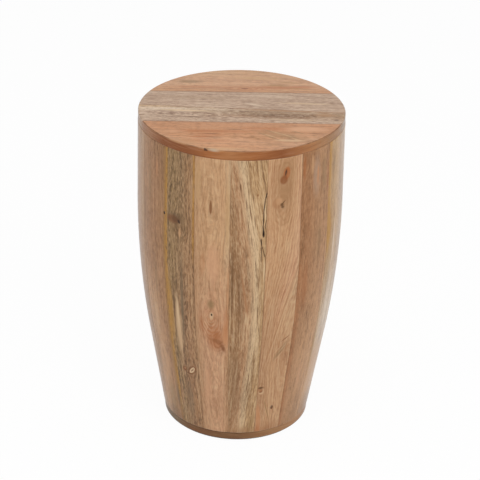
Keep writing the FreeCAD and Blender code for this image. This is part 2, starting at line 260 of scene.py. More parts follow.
# The staves, along the front from left to right and then round the back
STAVE_WOODS = {
    # Plain and pale, at the left edge
    "stave_01": Wood(bands=((0, TAUPE), (0.5, CLAY), (1, ROSE)), streaks=0.4, flecks=0.3, fibres=0.3),
    # Rosy, with a yellow right edge, a pit high up that holds painted shade, and painted shade at its foot
    "stave_02": Wood(
        bands=((0, ROSE), (0.35, CLAY), (0.7, CLAY), (1, BROWN)),
        far_bands=((0, SALMON), (0.4, SALMON), (0.75, ROSE), (1, BROWN)),
        streaks=0.8, fibres=0.6, flecks=0.6, patches=0.3, curl=0.14, pale=SALMON,
        lines=(Line(-1, 0.14, BROWN, 0.7), Line(1, 0.2, MUSTARD, 0.7), Line(1, 0.1, HONEY, 0.5, 60, 500)),
        marks=(
            # The first mark here is the dark of the pit: painted shade in the hollow
            Mark(0.9, 428, 2.6, 3.6, BARK, 0.95, 0.6, depth=1.4), Mark(0.69, 336, 3, 14, CHESTNUT, 0.5),
            Mark(0.55, 450, 6, 70, BROWN, 0.5), Mark(0.3, 500, 4, 22, APRICOT, 0.6),
            Mark(-0.3, 470, 7, 60, DRAB, 0.5), Mark(0.1, 300, 6, 60, DRAB, 0.4),
            Mark(-0.2, 220, 7, 50, SAND, 0.5), Mark(0.8, 70, 8, 40, SLATE, 0.6),
            Mark(0.84, 150, 4, 90, MUSTARD, 0.7), Mark(0.2, 50, 20, 60, OLIVE, 0.6),
            # Painted shade at the foot
            Mark(0.2, 20, 40, 26, COCOA, 0.5),
        ),
    ),
    # Olive, with a yellow left edge, a knot high up, a long pale streak and two eyes low down
    "stave_03": Wood(
        bands=((0, OLIVE), (0.3, OLIVE), (0.55, DRAB), (0.8, BROWN), (1, BROWN)),
        far_bands=((0, MUSTARD), (0.2, OLIVE), (0.5, BROWN), (0.75, CLAY), (1, BROWN)),
        turnover=(200, 450), streaks=0.85, flecks=0.8, fibres=0.75, patches=0.1, dark=PEAT, pale=SAND,
        lines=(Line(-1, 0.13, HONEY, 0.9, 60, 560), Line(1, 0.14, HONEY, 0.6, 380, 560)),
        marks=(
            Mark(-0.3, 428, 20, 15, PEAT, 0.5, 0.1), Mark(-0.45, 424, 18, 10, CHESTNUT, 0.7),
            Mark(-0.25, 425, 12, 8, UMBER, 0.8), Mark(0, 422.5, 3.2, 4.4, BARK, 0.85, 0.4, -0.4),
            Mark(0.2, 412, 1.8, 9, UMBER, 0.7, 0.3, -0.4), Mark(0.06, 403, 3.4, 12, SALMON, 0.85),
            Mark(-0.12, 372, 1.6, 5, UMBER, 0.8), Mark(-0.78, 250, 7, 85, HONEY, 0.65, 0.2),
            Mark(-0.5, 260, 3.4, 90, UMBER, 0.5), Mark(0.12, 270, 5, 120, SLATE, 0.75, 0.3, 0.02),
            Mark(-0.24, 221, 8, 82, SAND, 1, 0.3, -0.03),
            Mark(-0.25, 250, 3.4, 45, CREAM, 0.7, 0.3, -0.03), Mark(0.1, 70, 12, 60, SLATE, 0.5),
            Mark(-0.7, 80, 6, 35, CLAY, 0.5), Mark(0.5, 60, 7, 45, BROWN, 0.5),
            Mark(-0.15, 138, 6, 6, CHESTNUT, 0.95, 0.5), Mark(-0.12, 139, 2.4, 3, SALMON, 0.6),
            Mark(0.2, 131, 9, 3, UMBER, 0.9), Mark(0.46, 139, 8.5, 11, CHESTNUT, 0.95, 0.7, 0.6),
            Mark(0.46, 139, 5.6, 8, CREAM, 1, 0.7, 0.6),
            Mark(0.46, 139, 2, 4.4, CHESTNUT, 0.95, 0.4, 0.8),
        ),
        knots=(
            Knot(0.03, 418, 14, 20, 2.5, UMBER, 0.5, below=True), Knot(0.46, 139, 12, 20, 2, UMBER, 0.4),
        ),
    ),
    # Salmon, with a dark dash high up, a pit that holds painted shade and has rings below it, and a rusty
    # patch
    "stave_04": Wood(
        bands=((0, ROSE), (0.2, SALMON), (0.8, SALMON), (0.95, SAND)),
        far_bands=((0, ROSE), (0.4, PEACH), (0.75, PEACH), (1, ROSE)),
        turnover=(240, 420), streaks=0.3, flecks=0.35, rings=0.3, ring_spacing=4, curl=0.1,
        lines=(Line(1, 0.16, APRICOT, 0.5, 200, 360),),
        marks=(
            Mark(-0.06, 461, 2.6, 14, CHESTNUT, 1, 0.6), Mark(-0.07, 462, 5, 34, DRAB, 0.3),
            Mark(-0.02, 284, 9, 13, DRAB, 0.85), Mark(0, 262, 5, 10, CREAM, 0.6),
            # The first mark here is the dark of the pit: painted shade in the hollow
            Mark(0.01, 264, 1.8, 3, BARK, 0.95, 0.6, depth=0.9), Mark(0.25, 215, 22, 32, RUST, 0.6),
            Mark(-0.4, 120, 9, 60, PEACH, 0.6), Mark(0.1, 360, 16, 50, PEACH, 0.6),
            Mark(0.32, 212, 14, 8, CHESTNUT, 0.5, lean=-1.2),
            Mark(0.66, 200, 6, 12, CHESTNUT, 0.75, lean=-0.4), Mark(0.8, 225, 7, 32, APRICOT, 0.9),
            Mark(-0.5, 360, 6, 30, RUST, 0.3), Mark(-0.8, 500, 8, 50, TAN, 0.6),
            Mark(0.85, 450, 6, 80, TAN, 0.6), Mark(0.85, 250, 5, 40, RUST, 0.4),
            Mark(-0.6, 240, 6, 30, RUST, 0.3),
        ),
        knots=(
            Knot(0, 258, 19, 38, 5, RUST, 0.65, 0.2, below=True),
            Knot(0.45, 215, 14, 20, 2.5, CHESTNUT, 0.6, 0.1, below=True),
            Knot(0.05, 90, 14, 60, 4, BROWN, 0.5, 0), Knot(-0.06, 461, 16, 80, 3, BROWN, 0.35, 0),
        ),
    ),
    # Brown, paler to the right, with dark dashes and open cracks high up; the cracks hold painted shade
    # with painted highlights beside them, and the foot has painted shade
    "stave_05": Wood(
        bands=((0, BROWN), (0.35, BROWN), (0.5, ROSE), (0.62, ROSE), (0.7, SAND), (0.8, CREAM), (1, TAN)),
        streaks=0.95, flecks=0.55, fibres=0.85,
        drift=((20, -24), (140, -4), (300, 0), (420, -9), (560, -33)),
        marks=(
            Mark(-0.45, 498, 1.5, 12, UMBER, 0.9, 0.3, -0.1), Mark(0.47, 485, 1.8, 3.4, CHESTNUT, 0.9),
            Mark(0.04, 493, 4, 9, DRAB, 0.6), Mark(-0.82, 330, 3, 100, UMBER, 0.6),
            Mark(-0.35, 310, 7, 90, UMBER, 0.3, 0.2, -0.06),
            Mark(-0.11, 305, 3.4, 55, COPPER, 0.8, 0.2, -0.14),
            Mark(0.66, 32, 6, 36, OLIVE, 0.7, 0.2, 0.2), Mark(-0.55, 120, 13, 110, COCOA, 0.4),
            # The wide brown mark is painted shade at the foot, and the cream streak a painted highlight
            # beside a crack
            Mark(0, 15, 40, 22, BROWN, 0.6), Mark(0.93, 350, 1.8, 30, CREAM, 0.9),
            # A painted highlight on the lip of the upper crack
            Mark(0.9, 455, 1.2, 24, CREAM, 0.9, 0.4, -0.06),
            # The dark of a pit in the cracks: painted shade in the hollow
            Mark(0.84, 416.5, 2.2, 8, BARK, 0.95, 0.5, depth=2.5),
            *dashes(((-0.12, 470), (0.1, 455), (0.24, 480), (0.35, 440), (0.02, 428), (0.2, 405)),
                    1.1, 15, UMBER, 0.75, -0.1),
            *dashes(((0.45, 360), (0.6, 330), (0.36, 300), (0.65, 270), (0.8, 235), (-0.4, 250)),
                    1.1, 18, UMBER, 0.7, -0.06),
        ),
        # The cracks' dark tones are painted shade inside the splits
        cracks=(
            Crack(((0.98, 488), (0.89, 476), (0.83, 456), (0.81, 428)), 0.8, 2.6),
            Crack(((0.8, 430), (0.85, 411)), 1.1, 3), Crack(((0.97, 441), (0.9, 424)), 0.6, 1.4, UMBER),
            Crack(((0.71, 408), (0.74, 396)), 1, 2.4), Crack(((0.74, 398), (0.75, 367)), 0.6, 1.6, UMBER),
            Crack(((0.79, 394), (0.95, 375)), 0.7, 2, UMBER),
        ),
    ),
    # Salmon, with two knots high up, a slanting streak, and an eye and a pit low down; its pits hold
    # painted shade, and its foot has painted shade
    "stave_06": Wood(
        bands=((0, SALMON), (0.4, SALMON), (0.8, PEACH), (1, SAND)),
        far_bands=((0, ROSE), (0.4, ROSE), (0.75, SALMON), (1, SALMON)),
        streaks=0.4, flecks=0.3, fibres=0.6, rings=0.4, ring_spacing=5, curl=0.08, heart=(45, 15),
        drift=((100, -17), (220, -9), (340, 9), (460, 17)), dark=CHESTNUT,
        marks=(
            Mark(0, 505, 17, 46, BROWN, 0.65), Mark(0.05, 518, 7, 13, RUST, 0.95, 0.6, 0.1),
            Mark(-0.11, 507, 8, 9, RUSSET, 0.9, 0.5), Mark(0, 517, 3.8, 10, CHESTNUT, 0.7, 0.3, 0.15),
            # The dark of a pit in the upper knot: painted shade in the hollow
            Mark(0, 519, 1.7, 7.5, BARK, 0.95, 0.3, 0.15, depth=0.6),
            Mark(-0.47, 467, 9.5, 11, COPPER, 0.55, 0.5), Mark(-0.36, 471, 7, 8.5, SALMON, 0.6, 0.4),
            Mark(-0.1, 468, 1.8, 5, UMBER, 0.95, 0.3, 0.9),
            Mark(-0.18, 464.5, 3.8, 3.8, UMBER, 0.95, 0.4),
            Mark(-0.14, 460.5, 3.4, 3.4, UMBER, 0.95, 0.4),
            *dashes(((-0.55, 180), (-0.15, 225), (0.2, 270), (0.55, 310), (-0.05, 310)),
                    1.5, 40, COPPER, 0.5, 0.24),
            *dashes(((-0.35, 190), (0.05, 240), (0.4, 280)), 2, 42, SAND, 0.5, 0.24),
            Mark(0.3, 187, 7, 25, DRAB, 0.75, 0.2, 0.72),
            Mark(0.53, 210, 2.6, 6.5, CHESTNUT, 0.9, 0.3, 1.6),
            *dashes(((0.08, 190), (0.42, 192), (0.2, 176)), 1.6, 14, SAND, 0.6, 0.9),
            # The first mark here is painted shade at the foot
            Mark(0.2, 12, 40, 30, COPPER, 0.6), Mark(-0.76, 107, 12, 12, COPPER, 0.75, 0.4),
            Mark(-0.72, 105, 8.5, 9, SAND, 0.9, 0.5), Mark(-0.76, 107, 6, 6, COPPER, 0.9, 0.5),
            Mark(-0.79, 113, 8, 3.4, UMBER, 0.95), Mark(-0.76, 104, 5, 2, CHESTNUT, 0.9),
            Mark(-0.2, 62, 1.8, 34, OLIVE, 0.8, 0.3, -0.35),
            # The rusty mark at the left of the foot is painted shade
            Mark(-0.75, 42, 6.5, 45, APRICOT, 0.8, 0.5, -0.1), Mark(-0.8, 16, 9, 24, RUST, 0.5),
            # The dark of the low pit: painted shade in the hollow
            Mark(0.21, 65, 3.8, 5.2, UMBER, 0.95, 0.6, depth=1.2),
        ),
        knots=(
            Knot(-0.02, 512, 15, 40, 3, BROWN, 0.7), Knot(-0.15, 460, 16, 34, 3, BROWN, 0.6),
            Knot(-0.77, 106, 9, 20, 2, BROWN, 0.5), Knot(1.4, 220, 45, 120, 9, RUST, 0.2, 0),
        ),
    ),
    # Coppery, with long soft streaks and painted shade at its foot
    "stave_07": Wood(
        bands=((0, COPPER), (0.2, COPPER), (0.5, ROSE), (0.8, ROSE), (1, CLAY)),
        far_bands=((0, COPPER), (0.25, ROSE), (0.6, SALMON), (1, SALMON)),
        streaks=0.6, flecks=0.5, patches=0.3, curl=0.14, rings=0.3, drift=((20, -8), (540, 7)),
        pale=SALMON,
        lines=(
            Line(1, 0.07, HONEY, 0.6, 360, 560), Line(1, 0.14, SALMON, 0.7, 200, 370),
            Line(-1, 0.3, RUST, 0.3, 20, 340),
        ),
        marks=(
            Mark(-0.05, 500, 11, 50, TAUPE, 0.6), Mark(0.05, 500, 3, 26, APRICOT, 0.8),
            Mark(-0.85, 520, 4, 30, RUST, 0.6), Mark(-0.35, 520, 5, 24, SALMON, 0.6),
            Mark(0.5, 500, 7, 40, DRAB, 0.6), Mark(0.85, 490, 3, 50, RUST, 0.4),
            Mark(0.3, 380, 8, 50, DRAB, 0.4), Mark(0.1, 120, 6, 40, PEACH, 0.5),
            Mark(0.95, 150, 3, 45, HONEY, 0.6), Mark(-0.5, 300, 9, 60, RUST, 0.35),
            # Painted shade at the foot
            Mark(0.2, 15, 40, 30, BROWN, 0.6),
        ),
    ),
    # Pale, with a yellow left edge; the milky tones low down are partly pale wood and partly painted
    # reflection, and the brown foot is painted shade
    "stave_08": Wood(
        bands=((0, TAN), (0.25, TAN), (0.5, SAND), (1, ASH)),
        # The milky tone low down is partly pale wood and partly painted reflection
        far_bands=((0, SAND), (0.2, PEARL), (0.5, MILK), (1, CREAM)),
        streaks=0.4,
        lines=(Line(-1, 0.24, HONEY, 0.75, 340, 560), Line(-1, 0.2, MUSTARD, 0.6, 60, 200)),
        marks=(
            # The brown mark at the bottom is painted shade at the foot
            Mark(0, 80, 60, 120, SALMON, 0.8, 0.4), Mark(0, 10, 60, 70, BROWN, 0.9),
            Mark(-0.1, 175, 9, 20, TAUPE, 0.8), Mark(-0.55, 500, 5, 40, DRAB, 0.7),
            # The milky streak is partly pale wood and partly painted reflection
            Mark(-0.2, 270, 12, 110, MILK, 0.45, 0), Mark(-0.75, 390, 8, 50, HONEY, 0.8),
            Mark(-0.26, 410, 2.4, 16, BROWN, 0.8), Mark(-0.2, 360, 5, 50, PEARL, 0.8),
        ),
    ),
    # The staves of the back, in the manner of the front
    "stave_09": Wood(
        bands=((0, CREAM), (0.4, SAND), (0.7, SALMON), (1, BROWN)),
        far_bands=((0, SAND), (0.5, SALMON), (1, BROWN)),
        rings=0.4,
        # The dark of a pit in the knot: painted shade in the hollow
        marks=(Mark(0.2, 330, 2, 4, BARK, 0.9, 0.5, depth=0.9),),
        knots=(Knot(0.2, 330, 14, 36, 4, RUST, 0.6),),
    ),
    "stave_10": Wood(
        bands=((0, TAN), (0.3, CREAM), (0.65, SAND), (1, TAN)),
        far_bands=((0, TAN), (0.5, SALMON), (1, SAND)),
        streaks=0.6, flecks=0.5, drift=((20, 8), (540, -7)),
        lines=(Line(1, 0.1, HONEY, 0.6, 160, 500),),
    ),
    "stave_11": Wood(
        bands=((0, DRAB), (0.35, BROWN), (0.7, DRAB), (1, ROSE)),
        far_bands=((0, BROWN), (0.5, SLATE), (1, BROWN)),
        streaks=0.65, flecks=0.65,
        marks=(Mark(-0.3, 200, 3, 90, SAND, 0.7),),
    ),
    "stave_12": Wood(
        bands=((0, SALMON), (0.5, SALMON), (0.85, CREAM), (1, CREAM)),
        far_bands=((0, ROSE), (0.6, SALMON), (1, SAND)),
        streaks=0.35, rings=0.35,
        knots=(Knot(-0.25, 470, 12, 28, 3, RUST, 0.6),),
        marks=(
            # The second mark here is the dark of a pit: painted shade in the hollow
            Mark(-0.25, 472, 8, 12, RUST, 0.85, 0.5), Mark(-0.25, 472, 2.6, 5, BARK, 0.9, 0.4, depth=0.8),
            Mark(0.4, 150, 1.2, 12, CHESTNUT, 0.8),
        ),
    ),
    "stave_13": Wood(
        bands=((0, BROWN), (0.4, ROSE), (0.8, BROWN), (1, BROWN)),
        far_bands=((0, ROSE), (0.5, ROSE), (1, BROWN)),
        flecks=0.5,
        lines=(Line(-1, 0.1, HONEY, 0.6, 100, 400),),
    ),
    "stave_14": Wood(
        bands=((0, SAND), (0.4, CREAM), (0.7, TAN), (1, BROWN)),
        far_bands=((0, TAN), (0.45, SAND), (1, BROWN)),
        streaks=0.65, flecks=0.5, drift=((20, -8), (540, 7)),
        # The crack's dark tone is painted shade inside the split
        cracks=(Crack(((0.4, 340), (0.36, 300), (0.41, 262)), 0.6, 1.8),),
        marks=(Mark(-0.5, 120, 3.5, 5, UMBER, 0.8),),
    ),
    "stave_15": Wood(
        bands=((0, ROSE), (0.3, SALMON), (0.7, ROSE), (1, SALMON)),
        far_bands=((0, SALMON), (0.5, ROSE), (1, ROSE)),
        rings=0.45,
        knots=(Knot(0.1, 240, 16, 36, 5, RUST, 0.5),),
    ),
    "stave_16": Wood(
        bands=((0, ASH), (0.4, DRAB), (0.75, ASH), (1, SAND)),
        far_bands=((0, SAND), (0.5, ASH), (1, DRAB)),
        streaks=0.6, flecks=0.6,
        lines=(Line(1, 0.14, HONEY, 0.7, 200, 560),),
    ),
    "stave_17": Wood(
        bands=((0, SALMON), (0.4, TAN), (0.7, SAND), (1, ASH)),
        far_bands=((0, SALMON), (0.5, SALMON), (1, ROSE)),
        streaks=0.4, rings=0.3,
        marks=(Mark(0.3, 440, 4, 5, CHESTNUT, 0.7),),
    ),
}

# The boards of the top and the base. Their bands run from the front edge of each board to the back
FRONT_EDGE = (
    (0.04, COPPER), (0.12, RUSSET), (0.24, RUSSET), (0.34, AMBER), (0.45, GINGER), (0.56, AMBER),
    (0.7, RUSSET), (0.84, GINGER), (0.95, BROWN),
)
TOP_WOODS = {
    "top_board_front": Wood(
        bands=((0, APRICOT), (0.35, PEACH), (0.6, APRICOT), (0.85, APRICOT), (1, APRICOT)),
        streaks=0.6, flecks=0.5, fibres=0.6, rings=0.3, patches=0.3, curl=0.14, pale=PEACH,
        heart=(-20, 30), edge=FRONT_EDGE, corner=(PEAT, 1.5, 0.6),
        marks=(
            Mark(0.1, 70, 20, 60, DRAB, 0.4, 0.2, -0.3), Mark(-0.2, 75, 6, 36, CREAM, 0.5, 0.2, -0.05),
            Mark(0.35, -50, 8, 90, RUST, 0.6), Mark(0.6, 60, 8, 80, RUST, 0.5),
            Mark(-0.3, -60, 9, 60, RUST, 0.4), Mark(-0.5, 50, 5, 30, BROWN, 0.6),
            Mark(-0.4, -100, 18, 45, ROSE, 0.7), Mark(0.6, 100, 16, 50, PEACH, 0.8),
            Mark(0.3, -110, 10, 30, PEACH, 0.5), Mark(0.1, -50, 9, 36, RUST, 0.5),
            Mark(-0.05, -62, 4, 34, RUST, 0.7),
            *dashes(((0.42, 45), (0.24, 62), (0.06, 80), (0.2, 35), (-0.05, 50), (0.36, 90)),
                    2.4, 13, DRAB, 0.95, -0.6),
            *dashes(((0.33, 55), (0.14, 72), (0.1, 45), (-0.1, 85)), 2.4, 12, SAND, 0.7, -0.6),
            *dashes(((0.18, -48), (-0.06, -44), (-0.35, 2), (0.5, -10), (0.3, 120)),
                    1.8, 20, UMBER, 0.7, -0.04),
            Mark(-0.85, -30, 8, 70, SAND, 0.5, 0.1),
            Mark(-0.9, -42, 4.6, 13, LICHEN, 0.75, 0, -0.25, 2.4),
            Mark(-0.84, -54.5, 3, 4, BARK, 0.95, 0.5, -0.3, 2.8),
            Mark(-0.79, -65, 1.8, 12, UMBER, 0.9, 0.3, -0.36),
        ),
        knots=(Knot(0, 75, 20, 90, 3, BROWN, 0.4, 0.1),),
    ),
    "top_board_mid_front": Wood(
        bands=((0, ASH), (0.3, ASH), (0.5, BROWN), (0.75, DRAB), (1, ASH)),
        far_bands=((0, ASH), (0.35, ASH), (0.6, ASH), (0.8, PEARL), (1, SAND)),
        turnover=(-120, 30), streaks=0.8, flecks=1, fibres=1, rings=0.3, pale=PEARL,
        edge=((0, BROWN), (1, DRAB)),
        lines=(Line(1, 0.14, BROWN, 0.7, 0, 200),),
        marks=(
            Mark(0.1, 55, 11, 90, UMBER, 0.45, 0.2), Mark(-0.45, 90, 5, 60, CREAM, 0.3),
            Mark(0.5, -90, 5, 60, CREAM, 0.7), Mark(0.8, 80, 4, 90, BROWN, 0.7),
            Mark(0.4, 135, 12, 24, BROWN, 0.8), Mark(-0.3, 152, 5, 6, UMBER, 0.8),
        ),
        knots=(
            Knot(0, -118, 12, 26, 3, UMBER, 0.6, 0), Knot(-0.1, -70, 11, 30, 2.5, UMBER, 0.5, 0),
            Knot(0.1, 75, 12, 50, 3.5, UMBER, 0.5, 0.1),
        ),
    ),
    "top_board_mid_back": Wood(
        bands=((0, ASH), (0.4, TAUPE), (0.8, TAUPE), (1, TAUPE)),
        flecks=0.6, fibres=0.7, rings=0.3, pale=PEARL, edge=((0, BROWN), (1, DRAB)),
        marks=(
            Mark(0.2, -80, 7, 70, DRAB, 0.35), Mark(-0.5, 20, 5, 26, PEARL, 0.6, 0.2, -0.3),
            Mark(-0.2, 100, 5, 60, CREAM, 0.45),
        ),
    ),
    "top_board_back": Wood(
        bands=((0, APRICOT), (0.3, PEACH), (0.55, PEACH), (1, SALMON)),
        streaks=0.6, fibres=0.6, patches=0.35, curl=0.08, rings=0.35, pale=SAND,
        edge=((0, AMBER), (0.5, RUSSET), (1, AMBER)),
        marks=(
            Mark(-0.68, 4, 4, 8, CHESTNUT, 0.9, 0.5), Mark(-0.55, 63, 9, 60, RUST, 0.65),
            Mark(-0.6, -70, 8, 60, RUST, 0.45), Mark(-0.15, -88, 9, 30, DRAB, 0.8),
            Mark(0.25, 30, 8, 60, TAN, 0.7), Mark(-0.3, 60, 9, 26, BROWN, 0.6),
            Mark(-0.45, 100, 8, 30, RUST, 0.5),
            *dashes(((-0.38, 55), (-0.62, 95), (-0.1, 80)), 3, 28, MUSTARD, 0.7, -0.1),
        ),
        knots=(Knot(-0.68, 4, 10, 30, 2.5, RUST, 0.6),),
    ),
}
TOP_CHIPS = (Chip(-18.6, 4, 3.2), Chip(-13.6, 17, 2))
BASE_EDGE = ((0.08, SLATE), (0.2, COCOA), (0.52, COCOA), (0.76, BROWN), (0.95, ROSE))
# Painted contact shadow along the base's bottom edge, where it stands on the floor
BASE_CONTACT_SHADOW = (BARK, 4, 0.9)
# Painted shade along the top of the base's side, under the overhanging staves, strongest left of the middle
BASE_JOINT_SHADE = (0.95, -40, 80)
BASE_WOODS = {
    "base_board_front": Wood(
        bands=((0, BROWN), (0.5, TAN), (1, BROWN)),
        flecks=0.5, pale=TAN, edge=BASE_EDGE, painted_joint_shade=BASE_JOINT_SHADE, corner=BASE_CONTACT_SHADOW,
    ),
    "base_board_back": Wood(
        bands=((0, BROWN), (0.5, ROSE), (1, TAN)),
        pale=TAN, edge=BASE_EDGE, painted_joint_shade=BASE_JOINT_SHADE, corner=BASE_CONTACT_SHADOW,
    ),
}


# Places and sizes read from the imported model
def points_of(node):
    """A node's corner points, as rows of X, Y and Z."""
    return np.array([vertex.co for vertex in NODES[node].data.vertices])


def angles_of(points):
    """How far round from the front each point lies, towards +X."""
    return np.arctan2(points[:, 0], -points[:, 1])


def stave_span(node):
    """The angles of a stave's two seams, the left one first, about its own middle."""
    points = points_of(node)
    middle = points[:, :2].mean(axis=0)
    centre = math.atan2(middle[0], -middle[1])
    offsets = np.angle(np.exp(1j * (angles_of(points) - centre)))
    return centre + offsets.min(), centre + offsets.max()


class Drum:
    """The outside of the drum: a straight foot, an arc up to the belly and a straight shoulder."""

    def __init__(self):
        points = np.concatenate([points_of(node) for node in STAVE_WOODS])
        radii = np.hypot(points[:, 0], points[:, 1])
        self.bottom = points[:, 2].min()
        self.top = points[:, 2].max()
        self.foot = radii[points[:, 2] < self.bottom + MM].max()
        self.shoulder = radii[points[:, 2] > self.top - MM].max()
        widest = radii.argmax()
        self.belly = radii[widest]
        self.belly_height = points[widest, 2]
        self.lean = self.find_lean()
        self.arc_radius = (self.belly_height - FLARE_HEIGHT) / math.sin(self.lean)

    def find_lean(self):
        """The foot's slope that brings the arc upright at the belly."""
        low, high = 0.0, STEEPEST_LEAN
        for _ in range(LEAN_STEPS):
            lean = (low + high) / 2
            curved = (self.belly_height - FLARE_HEIGHT) * math.tan(lean / 2)
            straight = (FLARE_HEIGHT - self.bottom) * math.tan(lean)
            if curved + straight < self.belly - self.foot:
                low = lean
            else:
                high = lean
        return lean

    def radius(self, heights):
        """The outside radius at each height."""
        heights = np.asarray(heights, float)
        foot = self.foot + (heights - self.bottom) * math.tan(self.lean)
        below = np.clip(self.belly_height - heights, 0, self.belly_height - FLARE_HEIGHT)
        arc = self.belly - self.arc_radius + np.sqrt(self.arc_radius**2 - below**2)
        rise = (heights - self.belly_height) / (self.top - self.belly_height)
        shoulder = self.belly + (self.shoulder - self.belly) * rise
        upper = np.where(heights > self.belly_height, shoulder, arc)
        return np.where(heights < FLARE_HEIGHT, foot, upper)


DRUM = Drum()


# Meshes
def add_object(name, data):
    """Put a mesh, a lamp or a camera into the scene."""
    item = bpy.data.objects.new(name, data)
    bpy.context.scene.collection.objects.link(item)
    return item


def make_piece(name, bm, material, node):
    """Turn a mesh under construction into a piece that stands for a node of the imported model."""
    bmesh.ops.recalc_face_normals(bm, faces=bm.faces)
    mesh = bpy.data.meshes.new(name)
    bm.to_mesh(mesh)
    bm.free()
    mesh.shade_smooth()
    mesh.set_sharp_from_angle(angle=SHARP_ANGLE)
    mesh.materials.append(material)
    piece = add_object(name, mesh)
    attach(piece, "root")
    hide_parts(node)


def stations(low, high, step, fine_places, least_gap):
    """Places for the lines of a grid: even steps, and closer ones round the fine places."""
    count = round((high - low) / step)
    places = [*np.linspace(low, high, count + 1)]
    for centre, reach in fine_places:
        places += [centre + reach * share for share in FINE_SHARES]
    kept = [low]
    for place in sorted(places):
        if kept[-1] + least_gap < place < high - least_gap:
            kept.append(place)
    return np.array([*kept, high])


def stave_dents(wood, shares, heights, half_width):
    """How deep the cracks and pits of a stave go at each point of its outside."""
    depth = np.zeros(np.broadcast(shares, heights).shape)
    across = shares * half_width
    for mark in wood.marks:
        if mark.depth:
            over = (across - mark.across * half_width) / mark.half_width
            along = (heights - mark.along) / mark.half_length
            depth = np.maximum(depth, mark.depth * np.clip(1 - np.hypot(over, along), 0, 1))
    for crack in wood.cracks:
        for (share_a, along_a), (share_b, along_b) in crack.stretches():
            run = np.array([(share_b - share_a) * half_width, (along_b - along_a) * MM])
            over = across - share_a * half_width
            along = heights - along_a * MM
            part = np.clip((over * run[0] + along * run[1]) / (run @ run), 0, 1)
            gap = np.hypot(over - part * run[0], along - part * run[1]) / (crack.half_width * MM)
            depth = np.maximum(depth, crack.depth * MM * np.clip(1 - gap, 0, 1))
    return depth


def stave_lines(wood, left, right):
    """The angles and heights of a stave's grid, from its left seam to its right one."""
    middle = (left + right) / 2
    half_angle = (right - left) / 2
    ease = SEAM_EASE_WIDTH / DRUM.belly
    fine_columns = [(left, ease), (right, ease)]
    fine_rows = [(DRUM.bottom, END_EASE_HEIGHT), (DRUM.top, END_EASE_HEIGHT)]
    for mark in wood.marks:
        if mark.depth:
            fine_columns.append((middle + mark.across * half_angle, mark.half_width / DRUM.belly))
            fine_rows.append((mark.along, mark.half_length))
    for crack in wood.cracks:
        reach = crack.half_width * MM
        for share, along in crack.points:
            fine_columns.append((middle + share * half_angle, reach / DRUM.belly))
            fine_rows.append((along * MM, reach))
    step, gap = STAVE_COLUMN_STEP / DRUM.belly, STATION_GAP / DRUM.belly
    columns = stations(left, right, step, fine_columns, gap)
    rows = stations(DRUM.bottom, DRUM.top, STAVE_ROW_STEP, fine_rows, STATION_GAP)
    return columns, rows


def stave_mesh(node, wood):
    """A closed stave: turned outside with eased seams, flat sides and a flat inside."""
    left, right = stave_span(node)
    half_angle = (right - left) / 2
    columns, rows = stave_lines(wood, left, right)
    angles, heights = np.meshgrid(columns, rows)
    radii = DRUM.radius(heights)
    to_seam = np.minimum(angles - left, right - angles) * radii
    to_end = np.minimum(heights - DRUM.bottom, DRUM.top - heights)
    radii = radii - SEAM_EASE * np.clip(1 - to_seam / SEAM_EASE_WIDTH, 0, 1) ** 2
    radii = radii - END_EASE * np.clip(1 - to_end / END_EASE_HEIGHT, 0, 1) ** 2
    shares = (angles - (left + right) / 2) / half_angle
    radii = radii - stave_dents(wood, shares, heights, DRUM.belly * half_angle)

    bm = bmesh.new()
    outside = [
        [bm.verts.new((r * math.sin(a), -r * math.cos(a), z)) for r, a, z in zip(*line)]
        for line in zip(radii, angles, heights)
    ]
    inner_radii = (DRUM.radius(rows) - STAVE_THICKNESS) / math.cos(half_angle)
    inside = [
        [bm.verts.new((r * math.sin(a), -r * math.cos(a), z)) for a in (left, right)]
        for r, z in zip(inner_radii, rows)
    ]
    for low, high, low_in, high_in in zip(outside, outside[1:], inside, inside[1:]):
        for a, b, c, d in zip(low, low[1:], high[1:], high):
            bm.faces.new((a, b, c, d))
        bm.faces.new((low_in[1], low_in[0], high_in[0], high_in[1]))
        bm.faces.new((low_in[0], low[0], high[0], high_in[0]))
        bm.faces.new((low[-1], low_in[1], high_in[1], high[-1]))
    bm.faces.new([*inside[0], *reversed(outside[0])])
    bm.faces.new([*outside[-1], *reversed(inside[-1])])
    return bm


@dataclass
class Seam:
    """A straight glue line across the top or the base: Y at the middle, and its slope."""
    middle: float
    slope: float

    def crossing(self, radius, side, inset):
        """Where the line, moved back by an inset, meets a circle at the left (-1) or the right (1)."""
        y = self.middle + inset * math.hypot(1, self.slope)
        run = 1 + self.slope**2
        root = math.sqrt((self.slope * y) ** 2 - run * (y**2 - radius**2))
        x = (-self.slope * y + side * root) / run
        return x, y + self.slope * x


def board_seam(node, back):
    """The glue line along the back or the front of a board, or None where the rim is its edge."""
    points = points_of(node)
    rim = np.hypot(points[:, 0], points[:, 1]).max()
    pick = np.argmax if back else np.argmin
    ends = [points[points[:, 0] * side > 0] for side in (-1, 1)]
    left, right = [end[pick(end[:, 1])] for end in ends]
    if right[0] - left[0] < rim * LEAST_SEAM_SHARE:
        return None
    slope = (right[1] - left[1]) / (right[0] - left[0])
    return Seam(left[1] - slope * left[0], slope)


def arc_points(radius, start, end):
    """Points along the rim from one crossing to another, counter-clockwise from above, both ends in."""
    first = math.atan2(start[1], start[0])
    turn = (math.atan2(end[1], end[0]) - first) % math.tau
    count = max(2, round(turn / RIM_STEP))
    turns = np.linspace(first, first + turn, count + 1)
    return [(radius * math.cos(t), radius * math.sin(t)) for t in turns]


